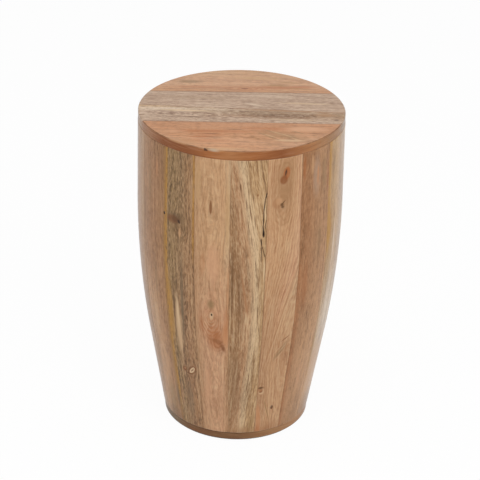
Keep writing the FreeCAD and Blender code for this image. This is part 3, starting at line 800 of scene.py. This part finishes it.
def board_outline(front, back, radius, seam_inset):
    """The outline of a board, counter-clockwise from above: seams straight, the rest along the rim."""
    if front:
        front_left, front_right = [front.crossing(radius, side, seam_inset) for side in (-1, 1)]
    if back:
        back_left, back_right = [back.crossing(radius, side, -seam_inset) for side in (-1, 1)]
    if front and back:
        right_rim = arc_points(radius, front_right, back_right)
        return right_rim + arc_points(radius, back_left, front_left)
    if back:
        return arc_points(radius, back_left, back_right)
    return arc_points(radius, front_right, front_left)


def chip_depth(x, y, radius):
    """How far the chips cut into the rim beside a point."""
    angle = math.atan2(x, -y)
    depth = 0.0
    for chip in TOP_CHIPS:
        aside = abs(angle - math.radians(chip.angle)) * radius
        depth = max(depth, chip.depth * MM * (1 - aside / (chip.half_width * MM)))
    return depth


def circle(bm, centre, radii, height):
    """A loop of corners about an upright axis, at one radius or at one for each corner."""
    x = centre[0] + radii * np.cos(SCREW_TURNS)
    y = centre[1] + radii * np.sin(SCREW_TURNS)
    return [bm.verts.new((*place, height)) for place in zip(x, y)]


def round_pairs(loop):
    """Each corner of a closed loop with the next."""
    return zip(loop, loop[1:] + loop[:1])


def join_loops(bm, loops):
    """A band of faces from each loop to the next, which has as many corners."""
    for low, high in zip(loops, loops[1:]):
        for (a, b), (d, c) in zip(round_pairs(low), round_pairs(high)):
            bm.faces.new((a, b, c, d))


def fill_round(bm, outline, holes):
    """Close a flat outline with faces that leave its holes open."""
    pairs = [pair for loop in (outline, *holes) for pair in round_pairs(loop)]
    edges = [bm.edges.get(pair) or bm.edges.new(pair) for pair in pairs]
    bmesh.ops.triangle_fill(bm, use_beauty=True, edges=edges)


def board_mesh(node, radius, levels, bores):
    """A closed board: outlines at levels of height, rim inset, seam inset and share of the chips.

    Each bore is a list of heights and radii about a screw's axis, from one face to the other.
    """
    front = board_seam(node, back=False)
    back = board_seam(node, back=True)
    bm = bmesh.new()
    loops = []
    for height, rim_inset, seam_inset, chip_share in levels:
        rim = radius - rim_inset
        outline = board_outline(front, back, rim, seam_inset)
        shrinks = [1 - chip_share * chip_depth(x, y, rim) / rim for x, y in outline]
        loops.append([bm.verts.new((x * k, y * k, height)) for (x, y), k in zip(outline, shrinks)])
    join_loops(bm, loops)
    mouths = []
    for centre, profile in bores:
        rings = [circle(bm, centre, bore_radius, height) for height, bore_radius in profile]
        join_loops(bm, rings)
        mouths.append((rings[0], rings[-1]))
    fill_round(bm, loops[0], [bottom for bottom, _ in mouths])
    fill_round(bm, loops[-1], [top for _, top in mouths])
    return bm


@dataclass
class Screw:
    """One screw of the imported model: its axis, and the sizes that its corners give."""
    centre: tuple
    face: float
    tip: float
    head_radius: float
    radius: float

    @property
    def neck(self):
        """The height where the head has narrowed to the shank."""
        return self.face + self.head_radius - self.radius

    def bore(self, low, high):
        """Heights and radii of the countersunk hole that it goes through."""
        shank = self.radius + BORE_CLEARANCE
        mouth = self.head_radius + self.face + BORE_CLEARANCE - low
        return [(low, mouth), (low + mouth - shank, shank), (high, shank)]


def read_screws():
    """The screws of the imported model, told apart by the gaps between them round the base."""
    points = points_of(SCREW_NODE)
    angles = angles_of(points)
    order = np.argsort(angles)
    ends = np.flatnonzero(np.diff(angles[order]) > SCREW_SPREAD) + 1
    screws = []
    for group in np.split(order, ends):
        own = points[group]
        face, tip = own[:, 2].min(), own[:, 2].max()
        centre = (own[:, :2].min(axis=0) + own[:, :2].max(axis=0)) / 2
        radii = np.hypot(*(own[:, :2] - centre).T)
        shank = radii[own[:, 2] > face + HEAD_LAND]
        screws.append(Screw(tuple(centre), face, tip, radii.max(), shank.max()))
    return screws


def thread_radii(screw, height, start):
    """The radii round a screw's thread, which climbs a pitch in each turn."""
    phases = ((height - start) / THREAD_PITCH - SCREW_TURNS / math.tau) % 1.0
    crests = np.maximum(0.0, 1 - np.abs(phases - 0.5) / CREST_SHARE)
    taper = min(1.0, (screw.tip - height) / POINT_LENGTH)
    return taper * (screw.radius - THREAD_DEPTH * (1 - crests))


def cross_recess(bm, screw):
    """Sink the cross into a screw's head, and give its outline on the face."""
    arm = [(CROSS_REACH, -CROSS_ARM), (CROSS_REACH, CROSS_ARM), (CROSS_ARM, CROSS_ARM)]
    cross = [Matrix.Rotation(k * math.pi / 2, 2) @ Vector(point) for k in range(4) for point in arm]
    loops = []
    for height, share in ((screw.face, 1.0), (screw.face + CROSS_DEPTH, CROSS_TAPER)):
        places = [Vector(screw.centre) + point * share for point in cross]
        loops.append([bm.verts.new((*place, height)) for place in places])
    join_loops(bm, loops)
    bm.faces.new(loops[1])
    return loops[0]


def add_screw(bm, screw):
    """A countersunk wood screw with a cross recess, a plain shank and a thread down to its point."""
    start = screw.neck + PLAIN_SHANK
    rows = [
        (screw.face, screw.head_radius - HEAD_EASE),
        (screw.face + HEAD_EASE, screw.head_radius),
        (screw.face + HEAD_LAND, screw.head_radius),
        (screw.neck + HEAD_LAND, screw.radius),
        (start, screw.radius),
    ]
    turns = (screw.tip - start) / THREAD_PITCH
    heights = np.linspace(start, screw.tip, round(turns * THREAD_ROWS) + 1)
    rows += [(height, thread_radii(screw, height, start)) for height in heights[1:-1]]
    loops = [circle(bm, screw.centre, radii, height) for height, radii in rows]
    join_loops(bm, loops)
    tip = bm.verts.new((*screw.centre, screw.tip))
    for a, b in round_pairs(loops[-1]):
        bm.faces.new((a, b, tip))
    fill_round(bm, loops[0], [cross_recess(bm, screw)])


# Shader sums, and the detail of the noises among them
COARSE = 1.0
MEDIUM = 2.0
FINE = 3.0


class Signal:
    """A number or colour that varies over a surface. Sums with it add the nodes that work them out."""

    def __init__(self, tree, socket):
        self.tree = tree
        self.socket = socket

    def sum(self, operation, *others):
        """A sum that the shader knows by its name."""
        inputs = enumerate((self, *others))
        return add_node(self.tree, "ShaderNodeMath", dict(inputs), operation=operation)

    def __add__(self, other):
        return self.sum("ADD", other)

    def __sub__(self, other):
        return self.sum("SUBTRACT", other)

    def __mul__(self, other):
        return self.sum("MULTIPLY", other)

    def __truediv__(self, other):
        return self.sum("DIVIDE", other)

    def change(self, low, high, start, end):
        """From start to end, smoothly, as the number goes from low to high."""
        inputs = enumerate((self, low, high, start, end))
        return add_node(self.tree, "ShaderNodeMapRange", dict(inputs), interpolation_type="SMOOTHSTEP")

    def rise(self, low, high):
        return self.change(low, high, 0.0, 1.0)

    def fall(self, low, high):
        return self.change(low, high, 1.0, 0.0)

    def within(self, start, end):
        """1 from one place to another, with a soft edge at each."""
        return self.rise(*start) * self.fall(*end)

    def sway(self, most):
        """A noise from 0 to 1 as a shift to either side."""
        return (self - 0.5) * most

    def bell(self):
        """1 where the number is 0, and less to either side."""
        return (self * self * -1.0).sum("EXPONENT")

    def covered(self, other, share):
        """This colour with another laid over a share of it."""
        inputs = {0: share, 6: self, 7: other}
        return add_node(self.tree, "ShaderNodeMix", inputs, 2, data_type="RGBA")


def fill_inputs(node, inputs):
    """Set a node's inputs, by place or by name, to plain values or link them to signals."""
    for key, value in inputs.items():
        if isinstance(value, Signal):
            value.tree.links.new(value.socket, node.inputs[key])
        else:
            node.inputs[key].default_value = value


def add_node(tree, kind, inputs, output=0, **settings):
    """Add a node with its settings and inputs, and give one of its outputs."""
    node = tree.nodes.new(kind)
    for name, value in settings.items():
        setattr(node, name, value)
    fill_inputs(node, inputs)
    return Signal(tree, node.outputs[output])


def noise(across, deep, along, detail=MEDIUM, roughness=0.55):
    """Cloudy noise from 0 to 1 over three places that are already scaled."""
    place = add_node(across.tree, "ShaderNodeCombineXYZ", {0: across, 1: deep, 2: along})
    inputs = {"Vector": place, "Scale": 1.0, "Detail": detail, "Roughness": roughness}
    return add_node(across.tree, "ShaderNodeTexNoise", inputs)


def bands_across(share, bands, blend="LINEAR"):
    """Tones across a board, from its left or front edge at 0 to the other edge at 1."""
    node = share.tree.nodes.new("ShaderNodeValToRGB")
    node.color_ramp.interpolation = blend
    stops = node.color_ramp.elements
    while len(stops) < len(bands):
        stops.new(1.0)
    for stop, (place, colour) in zip(stops, bands):
        stop.position = place
        stop.color = colour
    fill_inputs(node, {0: share})
    return Signal(share.tree, node.outputs[0])


def drifted(along, drift):
    """How far the grain has moved across, from a few places along the board and the shift at each."""
    stops = []
    for place, shift in drift:
        level = 0.5 + shift * MM / DRIFT_SPAN
        stops.append((0.5 + place * MM / DRIFT_REACH, (level, level, level, 1.0)))
    return bands_across(along / DRIFT_REACH + 0.5, stops, "B_SPLINE").sway(DRIFT_SPAN)


def object_axes(tree):
    """The signals of X, Y and Z in the table's own frame."""
    split = tree.nodes.new("ShaderNodeSeparateXYZ")
    fill_inputs(split, {0: add_node(tree, "ShaderNodeTexCoord", {}, "Object")})
    return [Signal(tree, socket) for socket in split.outputs]


@dataclass
class Grain:
    """Signals that say where a point lies in its board, and the board's sizes."""
    share: Signal
    across: Signal
    deep: Signal
    along: Signal
    half_width: float
    cut_share: float
    seams: tuple = (-1, 1)
    half_length: float = 0.0
    thickness: float = 0.0


def stave_grain(tree, node):
    """A stave's grain runs up it. Depth is counted from the belly, so the turning cuts into it."""
    left, right = stave_span(node)
    middle = (left + right) / 2
    half_angle = (right - left) / 2
    x, y, z = object_axes(tree)
    side = x * math.cos(middle) + y * math.sin(middle)
    out = x * math.sin(middle) - y * math.cos(middle)
    share = side / out / math.tan(half_angle)
    half_width = DRUM.belly * half_angle
    deep = out * -1.0 + DRUM.belly
    return Grain(share, share * half_width, deep, z, half_width, STAVE_CUT_SHARE)


def board_grain(tree, node, face_height):
    """A board's grain runs from left to right, and depth is counted from its face."""
    low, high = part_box(node)
    front, back = board_seam(node, back=False), board_seam(node, back=True)
    seams = tuple(side for side, seam in ((-1, front), (1, back)) if seam)
    front = front or Seam(low.y, 0.0)
    back = back or Seam(high.y, 0.0)
    half_width = (back.middle - front.middle) / 2
    half_length = (high.x - low.x) / 2
    x, y, z = object_axes(tree)
    across = y - x * ((front.slope + back.slope) / 2) - (front.middle + back.middle) / 2
    share = across / (x * ((back.slope - front.slope) / 2) + half_width)
    deep = (z - face_height).sum("ABSOLUTE")
    thickness = high.z - low.z
    return Grain(share, across, deep, x, half_width, BOARD_CUT_SHARE, seams, half_length, thickness)


def oval(grain, spot, lean=0.0):
    """How far out of an oval a point is: 0 at its middle and 1 at its edge."""
    over = grain.along - spot.along
    beside = grain.across - spot.across * grain.half_width
    if lean:
        beside = beside - over * lean
    beside = beside / spot.half_width
    over = over / spot.half_length
    return (beside * beside + over * over).sum("SQRT")


def crack_marks(wood, half_width):
    """Thin dark ovals of painted shade along the cracks, one for each stretch."""
    marks = []
    for crack in wood.cracks:
        for (share_a, along_a), (share_b, along_b) in crack.stretches():
            run = along_b - along_a
            share, along = (share_a + share_b) / 2, (along_a + along_b) / 2
            lean = (share_b - share_a) * half_width / (run * MM)
            sizes = CRACK_WIDTH * crack.half_width, CRACK_LENGTH * abs(run)
            marks.append(Mark(share, along, *sizes, crack.tone, CRACK_STRENGTH, CRACK_CORE, lean))
    return marks


@dataclass
class Tint:
    """How a noise tints the wood: where it darkens and pales it, and how much of each."""
    darkens: tuple
    dark_share: float
    pales: tuple
    pale_share: float

    def covers(self, signal, strength=1.0):
        """The shares of the dark tone and of the pale one."""
        dark = signal.rise(*self.darkens) * (self.dark_share * strength)
        return dark, signal.fall(*self.pales) * (self.pale_share * strength)


# Noises of the wood: how often they change across the grain and along it, in a metre
SEED_STEP = 3.7
CLOUD_RATE = (28.0, 7.0)
STREAK_RATE = (190.0, 9.0)
FIBRE_RATE = (460.0, 24.0)
FLECK_RATE = (560.0, 105.0)
PORE_RATE = (1900.0, 150.0)
CURL_RATE = (45.0, 110.0)
WANDER_RATE = (90.0, 45.0)
GRAIN_ROUGHNESS = 0.6
STAVE_CUT_SHARE = 0.12
BOARD_CUT_SHARE = 0.8

# How the noises tint the wood
CLOUD_TINT = Tint((0.5, 0.8), 1.0, (0.2, 0.5), 1.0)
STREAK_TINT = Tint((0.5, 0.7), 0.5, (0.32, 0.48), 0.45)
CURL_TINT = Tint((0.5, 0.7), 1.0, (0.3, 0.5), 1.0)
FIBRE_TINT = Tint((0.5, 0.72), 0.6, (0.28, 0.5), 0.6)
FLECK_TINT = Tint((0.5, 0.66), 0.8, (0.34, 0.5), 0.5)
RIM_TINT = Tint((0.5, 0.7), 0.5, (0.3, 0.48), 0.2)
STREAKY = (0.2, 0.6)
PORES = (0.56, 0.68)
PORE_SHARE = 0.35

# How far the grain, the bands and the stripes stray
FLOW_SWAY = 10 * MM
DRIFT_REACH = 1.2
DRIFT_SPAN = 120 * MM
BAND_STREAK = 0.4
BAND_FIBRE = 0.25
TURNOVER_SWAY = 160 * MM
LINE_SWAY = 120 * MM
LINE_FADE = 30 * MM
LINE_EDGE = (-0.2, 0.4)
LINE_RAGGED = 0.6
LINE_FLECKS = (0.45, 0.75)

# Growth rings, in turns from one ring to the next
RING_CLOUD = 3.0
RING_WANDER = 1.6
RING_STREAK = 0.7
LATE_WOOD = ((0.4, 0.9), (0.94, 1.0))
LATE_SHARE = 0.7
EARLY_WOOD = ((0.05, 0.2), (0.2, 0.45))
EARLY_SHARE = 0.5

# Knots, marks and cracks
KNOT_BEND = 0.85
KNOT_WANDER = 2.2
KNOT_RING = ((0.35, 0.8), (0.88, 1.0))
KNOT_FADE = (0.7, 1.6)
RAGGED = 0.9
RAGGED_WIDTH = 6 * MM
RAGGED_SLENDERNESS = 6.0
RAGGED_LEAST = 0.4
STRAND_WIDTH = 3.2 * MM
STRAND_FIBRE = 0.9
STRAND_STREAK = 0.7
STRAND_LEAST = 0.2
# Sizes and strength of the painted shade along the cracks
CRACK_WIDTH = 1.1
CRACK_LENGTH = 0.62
CRACK_STRENGTH = 0.9
CRACK_CORE = 0.5

# The rims of the boards, and the glue lines between boards
RIM_START = 0.6 * MM
FACE_DEPTH = 1.6 * MM
RIM_RATE = (22.0, 330.0)
RIM_TILT = 0.05
RIM_WAVE = 9.0
RIM_WAVE_HEIGHT = 14 * MM
RIM_BAND_SWAY = 0.1
RIM_COVER = 0.95
# Where the painted shade along a board's joint with the staves starts and where it is full, short of the
# board's far face
JOINT_SHADE = (3 * MM, 0.5 * MM)
CORNER_START = 0.3 * MM
CORNER_CLOUD = (0.2, 0.5)
GLUE_EDGE = (1.4 * MM, 0.2 * MM)
GLUE_STREAKS = (0.3, 0.6)
GLUE_STRENGTH = 0.5

# The oiled surface
OIL_ROUGHNESS = 0.48
OIL_SWAY = 0.2
OIL_SPECULAR = 0.25
SHEEN = 0.7
SHEEN_ROUGHNESS = 0.27
RELIEF_STRENGTH = 0.25
RELIEF_HEIGHT = 0.3 * MM
RELIEF_FIBRE = 0.6
RELIEF_PORES = 0.8

# Steel and ply
STEEL_RATE = 900.0
STEEL_TONES = ((0.3, DULL_STEEL), (0.7, BRIGHT_STEEL))
STEEL_ROUGHNESS = (0.22, 0.25)
PLY_RATE = (40.0, 500.0)
PLY_TONES = ((0.3, SAND), (0.6, CREAM))
PLY_LAYER = 1.5 * MM
PLY_LINE = (0.55, 0.7)
PLY_LINE_STRENGTH = 0.5
PLY_ROUGHNESS = (0.5, 0.2)


# Materials
class Figure:
    """How the wood of one board is drawn: the flow of its grain, its noises, and its tones."""

    def __init__(self, wood, grain, seed):
        self.wood = wood
        self.grain = grain
        self.shift = seed * SEED_STEP
        self.cloud = self.spread_out(grain.across, CLOUD_RATE, COARSE)
        across, along = grain.across * WANDER_RATE[0], grain.along * WANDER_RATE[1]
        self.wander = noise(across, self.shift, along, COARSE)
        self.flow = grain.across + self.cloud.sway(FLOW_SWAY)
        if wood.drift:
            self.flow = self.flow - drifted(grain.along, wood.drift)
        self.knots = []
        for knot in wood.knots:
            far = oval(grain, knot)
            swell = far.bell()
            self.flow = self.flow - (grain.across - knot.across * grain.half_width) * swell * KNOT_BEND
            self.knots.append((knot, far, swell))
        self.streak = self.along_grain(STREAK_RATE, FINE)
        self.fibre = self.along_grain(FIBRE_RATE, MEDIUM)
        self.fleck = self.along_grain(FLECK_RATE, MEDIUM)
        self.pores = self.along_grain(PORE_RATE, COARSE).rise(*PORES)
        self.curl = self.spread_out(self.flow, CURL_RATE, MEDIUM)
        self.in_streaks = self.streak.rise(*STREAKY)

    def spread_out(self, across, rate, detail):
        """Noise over the face, the same at every depth."""
        return noise(across * rate[0] + self.shift, self.shift, self.grain.along * rate[1], detail)

    def along_grain(self, rate, detail):
        """Noise drawn out along the grain."""
        across = self.flow * rate[0] + self.shift
        deep = self.grain.deep * (self.grain.cut_share * rate[0])
        return noise(across, deep, self.grain.along * rate[1] + self.shift, detail, GRAIN_ROUGHNESS)

    def rings(self):
        """The shares of late and early wood in growth rings about a heart that lay behind the face."""
        wood = self.wood
        aside = self.flow - wood.heart[0] * MM
        behind = self.grain.deep * self.grain.cut_share + wood.heart[1] * MM
        reach = (aside * aside + behind * behind).sum("SQRT")
        turns = reach / (wood.ring_spacing * MM) + self.cloud * RING_CLOUD
        turns = turns + self.wander.sway(RING_WANDER) + self.streak.sway(RING_STREAK)
        turns = turns.sum("FRACT")
        late = turns.within(*LATE_WOOD) * self.in_streaks
        return late * (LATE_SHARE * wood.rings), turns.within(*EARLY_WOOD) * (EARLY_SHARE * wood.rings)

    def body(self):
        """Tones across the board, drawn out along the grain, with the noises and rings over them."""
        wood, grain = self.wood, self.grain
        place = self.flow / grain.half_width * 0.5 + 0.5
        place = place + self.streak.sway(BAND_STREAK) + self.fibre.sway(BAND_FIBRE)
        colour = bands_across(place, wood.bands)
        if wood.far_bands:
            along = grain.along + self.streak.sway(TURNOVER_SWAY)
            start, end = wood.turnover
            near = along.rise(start * MM, end * MM)
            colour = bands_across(place, wood.far_bands).covered(colour, near)
        dark_flecks, pale_flecks = FLECK_TINT.covers(self.fleck, wood.flecks)
        layers = (
            CLOUD_TINT.covers(self.cloud, wood.patches),
            STREAK_TINT.covers(self.streak, wood.streaks),
            CURL_TINT.covers(self.curl, wood.curl),
            self.rings(),
            FIBRE_TINT.covers(self.fibre, wood.fibres),
            (dark_flecks * self.in_streaks, pale_flecks),
        )
        for dark, pale in layers:
            colour = colour.covered(wood.dark, dark).covered(wood.pale, pale)
        return colour.covered(wood.dark, self.pores * (PORE_SHARE * wood.flecks))

    def rim(self, colour):
        """The rim of a board, streaked along its edge, and painted shade along the joint behind it, where
        it meets the staves.
        """
        wood, grain = self.wood, self.grain
        on_rim = grain.deep.rise(RIM_START, FACE_DEPTH)
        wave = self.spread_out(grain.across, (RIM_WAVE, RIM_WAVE), COARSE)
        level = grain.deep + grain.along * RIM_TILT + wave * RIM_WAVE_HEIGHT
        across = grain.across * RIM_RATE[0] + self.shift
        layer = noise(across, level * RIM_RATE[1], grain.along * RIM_RATE[0])
        place = grain.along / (2 * grain.half_length) + 0.5 + layer.sway(RIM_BAND_SWAY)
        colour = colour.covered(bands_across(place, wood.edge), on_rim * RIM_COVER)
        dark, pale = RIM_TINT.covers(layer)
        colour = colour.covered(CHESTNUT, on_rim * dark).covered(wood.pale, on_rim * pale)
        # Painted shade in a band along the rim's far edge, where the board meets the staves
        strength, shade_place, shade_reach = wood.painted_joint_shade
        painted_joint_shade = grain.deep.rise(*[grain.thickness - size for size in JOINT_SHADE])
        fade = (grain.along - shade_place * MM) / (shade_reach * MM)
        return colour.covered(PEAT, painted_joint_shade * fade.bell() * strength)

    def corner(self, colour):
        """A dark line along the corner between a board's face and its rim. On the base, whose face is its
        underside, it is painted contact shadow where it stands on the floor.
        """
        corner_tone, width, strength = self.wood.corner
        corner = self.grain.deep.within((0.0, CORNER_START), (0.5 * width * MM, width * MM))
        return colour.covered(corner_tone, corner * self.cloud.rise(*CORNER_CLOUD) * strength)

    def edges(self, colour):
        """The dark glue lines, and stripes along the edges."""
        grain = self.grain
        for side in grain.seams:
            glue = (grain.share * side).rise(*[1 - size / grain.half_width for size in GLUE_EDGE])
            colour = colour.covered(UMBER, glue * self.streak.rise(*GLUE_STREAKS) * GLUE_STRENGTH)
        for line in self.wood.lines:
            width = line.width_share
            edge = grain.share * line.side + self.streak.sway(LINE_RAGGED * width)
            edge = edge.rise(*[1.0 - width + share * width for share in LINE_EDGE])
            ends = [(end * MM - LINE_FADE, end * MM + LINE_FADE) for end in (line.start, line.end)]
            length = (grain.along + self.streak.sway(LINE_SWAY)).within(*ends)
            cover = edge * length * (self.fleck.fall(*LINE_FLECKS) * line.strength)
            colour = colour.covered(line.tone, cover)
        return colour

    def knotted(self, colour):
        """The blush and the rings of the knots."""
        for knot, far, swell in self.knots:
            ring = far * knot.rings + self.wander.sway(KNOT_WANDER) + self.streak.sway(RING_STREAK)
            ring = ring.sum("FRACT").within(*KNOT_RING) * far.fall(*KNOT_FADE)
            if knot.below:
                half = 0.5 * knot.half_length
                ring = ring * (self.grain.along - knot.along).fall(-half, half)
            colour = colour.covered(knot.tone, swell * knot.blush)
            colour = colour.covered(knot.tone, ring * self.in_streaks * knot.strength)
        return colour

    def marked(self, colour):
        """The marks and cracks, ragged along the grain. On a board with a rim they stay on its face."""
        wood, grain = self.wood, self.grain
        ragged = self.streak.sway(RAGGED) + self.fibre.sway(RAGGED)
        strands = self.fibre * STRAND_FIBRE + self.streak * STRAND_STREAK + STRAND_LEAST
        for mark in (*wood.marks, *crack_marks(wood, grain.half_width)):
            slender = mark.half_length / mark.half_width / RAGGED_SLENDERNESS
            share = max(RAGGED_LEAST, min(1.0, slender)) * min(1.0, mark.half_width / RAGGED_WIDTH)
            cover = (oval(grain, mark, mark.lean) + ragged * share).fall(mark.core, 1.0) * mark.strength
            if mark.half_width > STRAND_WIDTH:
                cover = cover * strands
            if wood.edge:
                down = max(mark.depth, FACE_DEPTH)
                cover = cover * grain.deep.fall(down, 2 * down)
            colour = colour.covered(mark.tone, cover)
        return colour


def new_material(name):
    """A material made of nodes."""
    material = bpy.data.materials.new(name)
    material.use_nodes = True
    return material


def set_shader(material, inputs):
    """Set or link the inputs of a material's shader."""
    fill_inputs(material.node_tree.nodes["Principled BSDF"], inputs)


def draw_wood(material, wood, grain, seed):
    """Oiled hardwood in three dimensions, with bands, streaks, rings, pores, knots and stains, and painted
    shade and highlights among its marks and joints.
    """
    figure = Figure(wood, grain, seed)
    colour = figure.body()
    if wood.edge:
        colour = figure.rim(colour)
    if wood.corner:
        colour = figure.corner(colour)
    colour = figure.marked(figure.knotted(figure.edges(colour)))
    height = figure.fibre * RELIEF_FIBRE - figure.pores * RELIEF_PORES
    relief = {"Strength": RELIEF_STRENGTH, "Distance": RELIEF_HEIGHT, "Height": height}
    set_shader(material, {
        "Base Color": colour,
        "Roughness": figure.streak.sway(OIL_SWAY) + figure.fleck.sway(OIL_SWAY) + OIL_ROUGHNESS,
        "Normal": add_node(material.node_tree, "ShaderNodeBump", relief),
        "Specular IOR Level": OIL_SPECULAR,
        "Sheen Weight": SHEEN,
        "Sheen Roughness": SHEEN_ROUGHNESS,
    })


def steel_material():
    """Bright zinc-plated steel, dulled a little in fine patches."""
    material = new_material("screw_steel")
    places = [axis * STEEL_RATE for axis in object_axes(material.node_tree)]
    dull = noise(*places, FINE)
    least, more = STEEL_ROUGHNESS
    colour = bands_across(dull, STEEL_TONES)
    set_shader(material, {"Base Color": colour, "Roughness": dull * more + least, "Metallic": 1.0})
    return material


def ply_material():
    """Birch ply: pale faces, and layers that show as light and dark lines on the edge."""
    material = new_material("ring_ply")
    x, y, z = object_axes(material.node_tree)
    along, across = PLY_RATE
    grain = noise(x * along, y * across, z * across, FINE)
    line = (z / PLY_LAYER).sum("PINGPONG", 1.0).rise(*PLY_LINE)
    colour = bands_across(grain, PLY_TONES).covered(BROWN, line * PLY_LINE_STRENGTH)
    least, more = PLY_ROUGHNESS
    set_shader(material, {"Base Color": colour, "Roughness": grain * more + least})
    return material


# Pieces
TOP_SEED = 31
BASE_SEED = 41


def build_staves():
    for seed, (node, wood) in enumerate(STAVE_WOODS.items(), start=1):
        material = new_material(f"{node}_wood")
        draw_wood(material, wood, stave_grain(material.node_tree, node), seed)
        make_piece(f"{node}_turned", stave_mesh(node, wood), material, node)


def build_boards(woods, levels, face_height, first_seed, screws=()):
    radius = max(np.hypot(*points_of(node)[:, :2].T).max() for node in woods)
    for seed, (node, wood) in enumerate(woods.items(), start=first_seed):
        low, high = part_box(node)
        material = new_material(f"{node}_wood")
        draw_wood(material, wood, board_grain(material.node_tree, node, face_height), seed)
        own = [screw for screw in screws if low.y < screw.centre[1] < high.y]
        bores = [(screw.centre, screw.bore(low.z, high.z)) for screw in own]
        make_piece(f"{node}_sanded", board_mesh(node, radius, levels, bores), material, node)


def build_top():
    low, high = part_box("top_board_front")
    levels = [
        (low.z, RIM_EASE, 0.0, 0.0),
        (low.z + RIM_EASE, 0.0, 0.0, 0.0),
        (high.z - CHIP_DROP, 0.0, 0.0, 0.0),
        (high.z - TOP_BEVEL, 0.0, 0.0, BEVEL_CHIP_SHARE),
        (high.z, TOP_BEVEL, BOARD_SEAM_EASE, 1.0),
    ]
    build_boards(TOP_WOODS, levels, high.z, TOP_SEED)


def build_base():
    low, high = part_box("base_board_front")
    levels = [
        (low.z, BASE_BEVEL, BOARD_SEAM_EASE, 0.0),
        (low.z + BASE_BEVEL, 0.0, 0.0, 0.0),
        (high.z - RIM_EASE, 0.0, 0.0, 0.0),
        (high.z, RIM_EASE, 0.0, 0.0),
    ]
    screws = read_screws()
    build_boards(BASE_WOODS, levels, low.z, BASE_SEED, screws)
    bm = bmesh.new()
    for screw in screws:
        add_screw(bm, screw)
    make_piece("base_screws_threaded", bm, steel_material(), SCREW_NODE)


def finish_rings():
    """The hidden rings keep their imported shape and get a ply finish."""
    ply = ply_material()
    for node in RING_NODES:
        materials = NODES[node].data.materials
        materials.clear()
        materials.append(ply)


# Stage: the camera, the floor, and lamps with their place, size in metres and power in watts
CAMERA_DISTANCE = 3.0065
CAMERA_AIM = (0.0015, 0.0, 0.3199)
CAMERA_DOWN = math.radians(27.306)
CAMERA_ROLL = math.radians(1.228)
CAMERA_LENS = 133.87
SENSOR_WIDTH = 36.0
FLOOR_SIZE = 12.0
FLOOR_GLOW = 0.96
FLOOR_SHADE = (0.84, 0.84, 0.84, 1.0)
WHITE = (1.0, 1.0, 1.0, 1.0)
AMBIENT = 0.45
LAMP_AIM = Vector((0.0, 0.0, 0.3))
LAMPS = {
    "key": ((1.6, -2.2, 2.6), 1.8, 48.0),
    "fill": ((-2.0, -1.8, 1.4), 1.6, 15.0),
    "overhead": ((0.0, -0.5, 3.2), 2.0, 26.0),
}


def seen_rays(tree):
    """1 for rays that the picture sees straight, in gloss or through glass, and 0 for light."""
    path = tree.nodes.new("ShaderNodeLightPath")
    kinds = ("Is Camera Ray", "Is Glossy Ray", "Is Transmission Ray")
    camera, glossy, through = [Signal(tree, path.outputs[kind]) for kind in kinds]
    return camera.sum("MAXIMUM", glossy).sum("MAXIMUM", through)


def build_world():
    world = bpy.data.worlds.new("studio")
    bpy.context.scene.world = world
    world.use_nodes = True
    tree = world.node_tree
    strength = seen_rays(tree) * (1.0 - AMBIENT) + AMBIENT
    fill_inputs(tree.nodes["Background"], {"Color": WHITE, "Strength": strength})


def build_floor():
    mesh = bpy.data.meshes.new("floor")
    half = FLOOR_SIZE / 2
    corners = [(-half, -half, 0), (half, -half, 0), (half, half, 0), (-half, half, 0)]
    mesh.from_pydata(corners, [], [range(len(corners))])
    floor = add_object("floor", mesh)
    material = new_material("floor_paper")
    tree = material.node_tree
    tree.nodes.remove(tree.nodes["Principled BSDF"])
    paper = add_node(tree, "ShaderNodeBsdfDiffuse", {"Color": FLOOR_SHADE})
    glow = add_node(tree, "ShaderNodeEmission", {})
    surface = add_node(tree, "ShaderNodeMixShader", {0: seen_rays(tree) * FLOOR_GLOW, 1: paper, 2: glow})
    fill_inputs(tree.nodes["Material Output"], {"Surface": surface})
    mesh.materials.append(material)


def build_lights():
    """Soft square lamps, turned to face the table."""
    for name, (place, size, power) in LAMPS.items():
        lamp = bpy.data.lights.new(name, "AREA")
        lamp.size = size
        lamp.energy = power
        turn = (LAMP_AIM - Vector(place)).to_track_quat("-Z", "Y")
        add_object(name, lamp).matrix_world = Matrix.LocRotScale(place, turn, None)


def build_camera():
    camera = add_object("camera", bpy.data.cameras.new("camera"))
    camera.data.sensor_width = SENSOR_WIDTH
    camera.data.sensor_fit = "HORIZONTAL"
    camera.data.lens = CAMERA_LENS
    back = CAMERA_DISTANCE * math.cos(CAMERA_DOWN)
    rise = CAMERA_DISTANCE * math.sin(CAMERA_DOWN)
    camera.location = (CAMERA_AIM[0], CAMERA_AIM[1] - back, CAMERA_AIM[2] + rise)
    tilt = Euler((math.pi / 2 - CAMERA_DOWN, 0.0, 0.0)).to_matrix()
    camera.rotation_euler = (tilt @ Matrix.Rotation(CAMERA_ROLL, 3, "Z")).to_euler()
    bpy.context.scene.camera = camera


build_staves()
build_top()
build_base()
finish_rings()
build_world()
build_floor()
build_lights()
build_camera()
bpy.context.scene.view_settings.view_transform = "Standard"
